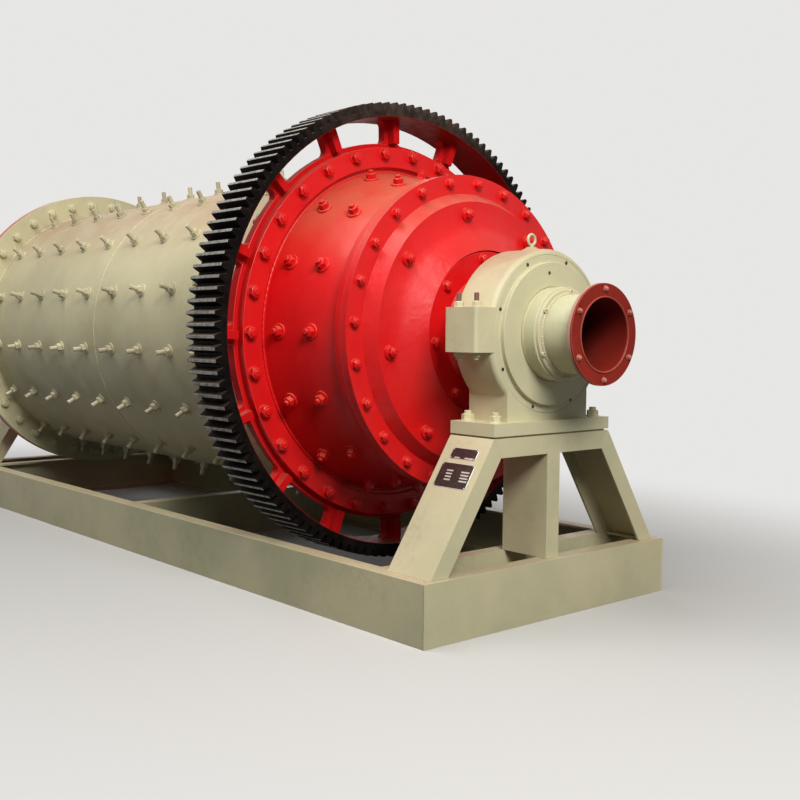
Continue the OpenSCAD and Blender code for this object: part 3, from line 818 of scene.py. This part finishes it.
RING_PLACES, PER_RING, RING_TURN = (1.454, 1.632), 15, 12
cone_bolt = bolt_end(flats=42, washer=35, thick=7, nut=24, stud=12.5, tail=44)
cone_places = []
for x in RING_PLACES:
    radius = cone_large - (x - cone_start) * cone_slope
    for i in range(PER_RING):
        degrees = RING_TURN + i * 360 / PER_RING
        outward = away_from_axis(degrees) * math.cos(cone_lean) + ALONG * math.sin(cone_lean)
        cone_places.append(facing(on_drum(x, radius, degrees), outward, turn=any_turn()))
lay_out("cone_liner_bolts", cone_bolt, cone_places, red_enamel, "drum")

# %% [markdown]
# ## Flange bolts
#
# Two flanges are only as good as the ring of bolts that clamps them. The big ring at
# the gear has thirty bolts that pass right through the gear's hub, with long tails
# behind it. The covers, the trunnion flanges and the feed end have rings of their
# own.

# %% Fit the bolts of the big flanges
flange_bolt = bolt_end(flats=46, washer=30, thick=5, nut=25, stud=15, tail=36)
through_bolt = bolt_end(flats=46, washer=30, thick=5, nut=26, stud=15, tail=62)
cover_bolt = bolt_end(flats=36, washer=25, thick=4, nut=20, stud=12, tail=30)
gear_ring = {"count": 30, "first": 96.5, "radius": 0.850}
feed_ring = {"count": 36, "first": 5, "radius": 0.862}
joint_back = lowest("shell_flange_gear").x
feed_joint = highest("shell_flange_feed").x
cover_face = lowest("end_cover_discharge").x + FLANGE_PLATE

lay_out("gear_joint_nuts", flange_bolt, ring_of(x=cone_back, **gear_ring),
        red_enamel, "drum")
lay_out("gear_joint_tails", through_bolt, ring_of(x=joint_back, side=-1, **gear_ring),
        red_enamel, "drum")
lay_out("cover_flange_bolts", cover_bolt, ring_of(24, 11.5, x=cover_face, radius=0.667),
        red_enamel, "drum")
lay_out("feed_joint_nuts", flange_bolt, ring_of(x=feed_joint, **feed_ring),
        grey_enamel, "drum")
lay_out("feed_joint_heads", flange_bolt, ring_of(x=-cover_face, side=-1, **feed_ring),
        red_enamel, "drum")

# %% Fit the bolts on the cover's bosses and on the trunnion flange
RING_HEIGHT, BOSS_HEIGHT = 0.060, 0.010
neck_bolt = bolt_end(flats=36, washer=25, thick=4, nut=18, stud=12, tail=24)
boss_places = ring_of(8, 9, x=cover_face + RING_HEIGHT + BOSS_HEIGHT, radius=0.5268)
lay_out("cover_boss_bolts", cover_bolt, at_both_ends(boss_places),
        red_enamel, "drum")
neck_places = ring_of(8, 7.5, x=highest("trunnion_flange_discharge").x, radius=0.326)
lay_out("trunnion_flange_bolts", neck_bolt, at_both_ends(neck_places),
        red_enamel, "drum")

# %% [markdown]
# ## Screws at the trunnion
#
# The collar and the outlet flange turn with the drum. The collar is clamped by six
# screws, and six bolts in the flange wait for a screen or a chute: heads behind,
# small nuts in front. The liner tube is welded into the flange, and the end of the
# tube stands a little proud as a thin lip round the bore.

# %% Fit the collar screws and the outlet bolts
COLLAR_REACH, OUTLET_FLANGE = 0.072, 0.022
collar_face = highest("trunnion_discharge").x + COLLAR_REACH
outlet_back = outlet_face - OUTLET_FLANGE
outlet_ring = {"count": 6, "first": 30, "radius": 0.182}
collar_screw = socket_screw(head=10.5, height=8, socket=9)
outlet_nut = bolt_end(flats=19, washer=13, thick=2, nut=8, stud=6, tail=14)
outlet_head = bolt_end(flats=19, washer=13, thick=2, nut=8, stud=8, tail=11)
lay_out("collar_screws", collar_screw,
        at_both_ends(ring_of(6, 28, x=collar_face, radius=0.1745)),
        grey_edge, "drum")
lay_out("outlet_nuts", outlet_nut, at_both_ends(ring_of(x=outlet_face, **outlet_ring)),
        pale_highlit_oxide, "drum")
lay_out("outlet_heads", outlet_head,
        at_both_ends(ring_of(x=outlet_back, side=-1, **outlet_ring)),
        oxide_primer, "drum")

# %% Turn the lips of the outlets
def lathe(profile, steps=144):
    """A ring turned about the drum's axis from a closed profile of (x, radius) pairs."""
    corners = len(profile)
    points = [on_drum(x, radius, 360 * i / steps)
              for i in range(steps) for x, radius in profile]
    faces = []
    for i in range(steps):
        here, there = i * corners, (i + 1) % steps * corners
        for k in range(corners):
            m = (k + 1) % corners
            faces.append((here + k, there + k, there + m, here + m))
    return points, faces


lip_foot, lip_top, lip_wall = -1 * MM, 5 * MM, 6.5 * MM
bevel_along, bevel_across = 2 * MM, 1.5 * MM
lip = [
    (lip_foot, 0), (lip_top - bevel_along, 0), (lip_top, bevel_across),
    (lip_top, lip_wall - bevel_across), (lip_top - bevel_along, lip_wall),
    (lip_foot, lip_wall),
]
for end, side in (("discharge", 1), ("feed", -1)):
    profile = [(side * (outlet_face + x), bore_radius + out) for x, out in lip]
    add_piece(f"outlet_lip_{end}", [lathe(profile[::side])], oxide_edge, "drum")

# %% [markdown]
# ## Bearing hardware
#
# A pillow bearing is clamped by studs through its side lugs and held down by bolts in
# its foot. Small dark socket screws hold the end covers. None of them turns, so they
# all ride on the base.

# %% Dark screws and brown studs
def black_screws():
    material, tree, shader = new_finish("blackened_screws")
    brightened = spread(tree, noise(tree, 90), 0.4, 0.7)
    feed(tree, shader.inputs["Base Color"],
         tint(tree, brightened, (0.035, 0.032, 0.028), (0.09, 0.08, 0.065)))
    shader.inputs["Metallic"].default_value = 0.6
    feed(tree, shader.inputs["Roughness"], spread(tree, noise(tree, 60), 0.3, 0.7, 0.35, 0.6))
    return material


def weathered_steel():
    """Bare studs that have gone brown in damp air."""
    material, tree, shader = new_finish("weathered_stud_steel")
    rust = spread(tree, noise(tree, 60, 5, 0.7), 0.35, 0.65)
    feed(tree, shader.inputs["Base Color"],
         tint(tree, rust, (0.16, 0.125, 0.095), (0.20, 0.085, 0.040)))
    feed(tree, shader.inputs["Metallic"], pick(tree, rust, 0.7, 0.1))
    feed(tree, shader.inputs["Roughness"], pick(tree, rust, 0.38, 0.75))
    return material


dark_steel = black_screws()
brown_steel = weathered_steel()
print("Bearing finishes:", dark_steel.name, "and", brown_steel.name)

# %% Fit the screws of the bearing's covers
COVER_STEP = 0.020
screw_ring = {"count": 8, "first": 27, "radius": 0.3155}
back_seal_face = lowest("bearing_back_cover_discharge").x
cover_screw = socket_screw(head=7.5, height=3, socket=7)
screw_places = (ring_of(x=seal_face - COVER_STEP, **screw_ring)
                + ring_of(x=back_seal_face + COVER_STEP, side=-1, **screw_ring))
lay_out("bearing_cover_screws", cover_screw, at_both_ends(screw_places),
        dark_steel, "base")
plug = socket_screw(head=7, height=3, socket=6)
plug_place = facing(on_drum(seal_face, 0.254, 97), ALONG, UPWARD)
lay_out("grease_plugs", plug, at_both_ends([plug_place]), dark_steel, "base")

# %% Fit the studs of the lugs and the bolts of the foot
LUG_ABOVE, LUG_BELOW, FOOT_PLATE = 0.104, 0.076, 0.060
LUG_ALONG, LUG_OUT = 0.050, 0.395
FOOT_ALONG, FOOT_OUT = 0.078, 0.308
stand_back = lowest("stand_top_discharge").x
stand_front = highest("stand_top_discharge").x
stand_middle = (stand_back + stand_front) / 2
lug_top, lug_bottom = AXIS_Z + LUG_ABOVE, AXIS_Z - LUG_BELOW
foot_top = lowest("bearing_base_discharge").z + FOOT_PLATE

lug_nut = bolt_end(flats=36, washer=22, thick=3, nut=20, stud=12, tail=25)
lug_tail = skin([circle(10 * MM, 18 * MM), circle(10 * MM, 56 * MM), circle(8 * MM, 58 * MM)])
lug_head = bolt_end(flats=36, washer=22, thick=3, nut=16, stud=11, tail=30)
foot_bolt = bolt_end(flats=46, washer=29, thick=5, nut=24, stud=15, tail=42)
lug_places, lug_under, foot_places = [], [], []
for side in (-1, 1):
    for end in (-1, 1):
        lug = Vector((stand_middle + end * LUG_ALONG, side * LUG_OUT, 0))
        lug_places.append(facing(lug + UPWARD * lug_top, UPWARD, turn=any_turn()))
        lug_under.append(facing(lug + UPWARD * lug_bottom, -UPWARD, turn=any_turn()))
        foot = Vector((stand_middle + end * FOOT_ALONG, side * FOOT_OUT, foot_top))
        foot_places.append(facing(foot, UPWARD, turn=any_turn()))
for name, shape, places, finish in (
    ("bearing_lug_nuts", lug_nut, lug_places, grey_edge),
    ("bearing_lug_studs", lug_tail, lug_places, brown_steel),
    ("bearing_lug_heads", lug_head, lug_under, grey_enamel),
    ("bearing_foot_bolts", foot_bolt, foot_places, grey_enamel),
):
    lay_out(name, shape, at_both_ends(places), finish, "base")

# %% [markdown]
# ## Weld beads
#
# A weld is a row of overlapping ripples that fills a corner. Along a line or round a
# ring, it is a small round section whose size rises and falls with every ripple. A
# bead sunk halfway into its corner looks right from both sides.

# %% Draw a bead
SECTION = 8
RIPPLE = 2 * math.pi / 3


def bead(route, size, closed):
    """A bead along a route of (point, normal) pairs, with three pairs to a ripple."""
    points, faces = [], []
    count = len(route)
    for i, (place, normal) in enumerate(route):
        ahead = route[(i + 1) % count if closed else min(i + 1, count - 1)][0]
        behind = route[i - 1 if closed or i else 0][0]
        forward = (ahead - behind).normalized()
        side = forward.cross(normal).normalized()
        swell = size * (1 + 0.14 * math.cos(i * RIPPLE) + wobble.uniform(-0.06, 0.06))
        for k in range(SECTION):
            turn = 2 * math.pi * k / SECTION
            points.append(place + (normal * math.cos(turn) + side * math.sin(turn)) * swell)
    for i in range(count if closed else count - 1):
        for k in range(SECTION):
            j, m = (i + 1) % count, (k + 1) % SECTION
            faces.append((i * SECTION + k, j * SECTION + k, j * SECTION + m, i * SECTION + m))
    if not closed:
        faces.append(tuple(range(SECTION)))
        faces.append(tuple(reversed(range((count - 1) * SECTION, count * SECTION))))
    return points, faces


def ring_bead(x, radius, size, steps=480):
    angles = [360 * i / steps for i in range(steps)]
    route = [(on_drum(x, radius, angle), away_from_axis(angle)) for angle in angles]
    return bead(route, size, closed=True)


def straight_bead(start, end, outward, size, step=6 * MM):
    count = max(3, int((end - start).length / step))
    route = [(start.lerp(end, i / count), outward.normalized()) for i in range(count + 1)]
    return bead(route, size, closed=False)


def weld(name, beads, finish, body, slot):
    add_piece(name, beads, finish, body, sharp=60)


print("Beads have", SECTION, "points round them")

# %% Run the drum's welds
weld("shell_welds",
     [ring_bead(shell_seam, shell_radius - 3 * MM, 6 * MM),
      ring_bead(feed_joint, shell_radius, 9 * MM),
      ring_bead(joint_back, shell_radius, 9 * MM)],
     shell_enamel, "drum", "machine_paint")
weld("cone_welds",
     [ring_bead(cone_start, cone_large, 9 * MM), ring_bead(cone_front, cone_small, 9 * MM)],
     red_enamel, "drum", "red_paint")
TUBE_RADIUS, TUBE_STEPS = 0.162, 240
weld("collar_welds",
     [ring_bead(side * collar_face, TUBE_RADIUS + 2 * MM, 7 * MM, TUBE_STEPS)
      for side in (-1, 1)],
     grey_edge, "drum", "machine_paint")
weld("outlet_welds",
     [ring_bead(side * outlet_back, TUBE_RADIUS, 5 * MM, TUBE_STEPS) for side in (-1, 1)],
     grey_enamel, "drum", "machine_paint")

# %% Run the frame's welds
CHANNEL_FLANGE = 0.078
half_width = highest("side_beam_right").y
beam_top = highest("side_beam_right").z
foot_half = highest("stand_right_leg_discharge").y
frame_end = highest("end_beam_discharge").x
stand_beads = []
for side in (-1, 1):
    foot = Vector((0, side * foot_half, beam_top))
    stand_beads.append(straight_bead(foot + ALONG * stand_back, foot + ALONG * stand_front,
                                     Vector((0, side, 1)), 5 * MM))
    corner = Vector((frame_end, side * half_width, 0))
    corner_top = corner + UPWARD * beam_top
    stand_beads.append(straight_bead(corner, corner_top, Vector((1, side, 0)), 2.5 * MM))
    mitre_end = corner_top - Vector((CHANNEL_FLANGE, side * CHANNEL_FLANGE, 0))
    stand_beads.append(straight_bead(corner_top, mitre_end, UPWARD, 2.5 * MM))
weld("frame_welds_discharge", stand_beads, frame_enamel, "base", "machine_paint")
feed_beads = [moved(shape, HALF_TURN) for shape in stand_beads]
weld("frame_welds_feed", feed_beads, frame_enamel, "base", "machine_paint")

# %% [markdown]
# ## Two blank plates on a leg
#
# Machines carry their data on small etched plates. These two are left blank: dark
# enamel inside a thin bright rim, a few empty fields, and a rivet in each corner.
# A rounded rectangle is drawn once as a ring of points, and rings at different
# heights are skinned together, as for the bolts. The plates lie on the leg's outer
# slope, so a matrix is built from that slope.

# %% Rounded slabs
CORNER_POINTS = 8


def rounded(length, height, corner, level):
    """A rounded rectangle about the origin, as a ring of points."""
    points = []
    for i in range(4 * CORNER_POINTS):
        quarter, step = divmod(i, CORNER_POINTS)
        a = math.radians(90 * quarter + 90 * step / (CORNER_POINTS - 1))
        cx = (length / 2 - corner) * (1 if quarter in (0, 3) else -1)
        cy = (height / 2 - corner) * (1 if quarter in (0, 1) else -1)
        points.append((cx + corner * math.cos(a), cy + corner * math.sin(a), level))
    return points


def slab(length, height, corner, low, high, soften=0.4 * MM):
    return skin([rounded(length, height, corner, low),
                 rounded(length, height, corner, high - soften),
                 rounded(length - 2 * soften, height - 2 * soften, corner - soften, high)])


print("Slabs have", 4 * CORNER_POINTS, "points round them")

# %% Finishes of the plates
def etched_plate():
    material, tree, shader = new_finish("etched_dark_plate")
    wear = spread(tree, noise(tree, 70, 5, 0.7), 0.45, 0.75, 0, 0.7)
    feed(tree, shader.inputs["Base Color"],
         tint(tree, wear, (0.016, 0.008, 0.007), (0.060, 0.034, 0.026)))
    feed(tree, shader.inputs["Roughness"], pick(tree, wear, 0.28, 0.5))
    return material


def bright_aluminium():
    material, tree, shader = new_finish("bright_plate_metal")
    haze = spread(tree, noise(tree, 120, 4, 0.6, stretch=(1, 8, 8)), 0.3, 0.7)
    feed(tree, shader.inputs["Base Color"],
         tint(tree, haze, (0.70, 0.67, 0.62), (0.52, 0.49, 0.45)))
    shader.inputs["Metallic"].default_value = 0.75
    feed(tree, shader.inputs["Roughness"], pick(tree, haze, 0.32, 0.5))
    return material


dark_plate, bright_metal = etched_plate(), bright_aluminium()
print("Plate finishes:", dark_plate.name, "and", bright_metal.name)

# %% Fit the plates
top_half = highest("stand_top_discharge").y
leg_height = highest("stand_top_discharge").z - beam_top
leg_foot = Vector((0, -foot_half, beam_top))
leg_slope = Vector((0, foot_half - top_half, leg_height)).normalized()
leg_normal = ALONG.cross(leg_slope)


def on_leg(x, up_slope):
    """Local X lies along the mill, local Y up the leg and local Z out of it."""
    place = leg_foot + leg_slope * up_slope + ALONG * x
    axes = Matrix((ALONG, leg_slope, leg_normal)).transposed().to_4x4()
    return Matrix.Translation(place) @ axes


# Each plate is x, height up the slope, length and height; a field is the first three
plates = [(2.2655, 0.5405, 0.146, 0.052), (2.2615, 0.4415, 0.184, 0.112)]
fields = [(2.235, 0.5215, 0.030), (2.301, 0.5220, 0.046)]
for i in range(4):
    fields.append((2.230 + 0.001 * i, 0.462 - 0.0136 * i, 0.034))
for i in range(4):
    fields.append((2.317 + 0.002 * i, 0.461 - 0.0134 * i, 0.044))
RIM_WIDTH, RIVET_INSET, FIELD_HEIGHT = 2.5 * MM, 8 * MM, 6.5 * MM
rivet = skin([circle(2.6 * MM, 1 * MM), circle(2.4 * MM, 2.2 * MM), circle(1.2 * MM, 3.0 * MM)])

dark, bright = [], []
for x, up_slope, length, height in plates:
    place = on_leg(x, up_slope)
    bright.append(moved(slab(length, height, 11 * MM, -1 * MM, 1.2 * MM), place))
    inner = slab(length - 2 * RIM_WIDTH, height - 2 * RIM_WIDTH, 9 * MM, 0.5 * MM, 1.6 * MM)
    dark.append(moved(inner, place))
    half_length, half_height = length / 2 - RIVET_INSET, height / 2 - RIVET_INSET
    for dx in (-1, 1):
        for dy in (-1, 1):
            spot = on_leg(x + dx * half_length, up_slope + dy * half_height)
            bright.append(moved(rivet, spot))
for x, up_slope, length in fields:
    field = slab(length, FIELD_HEIGHT, 1 * MM, 1 * MM, 1.9 * MM, soften=0.2 * MM)
    bright.append(moved(field, on_leg(x, up_slope)))
add_piece("blank_plates", dark, dark_plate, "base")
add_piece("blank_plate_rims", bright, bright_metal, "base")

# %% Update the view layer
bpy.context.view_layer.update()
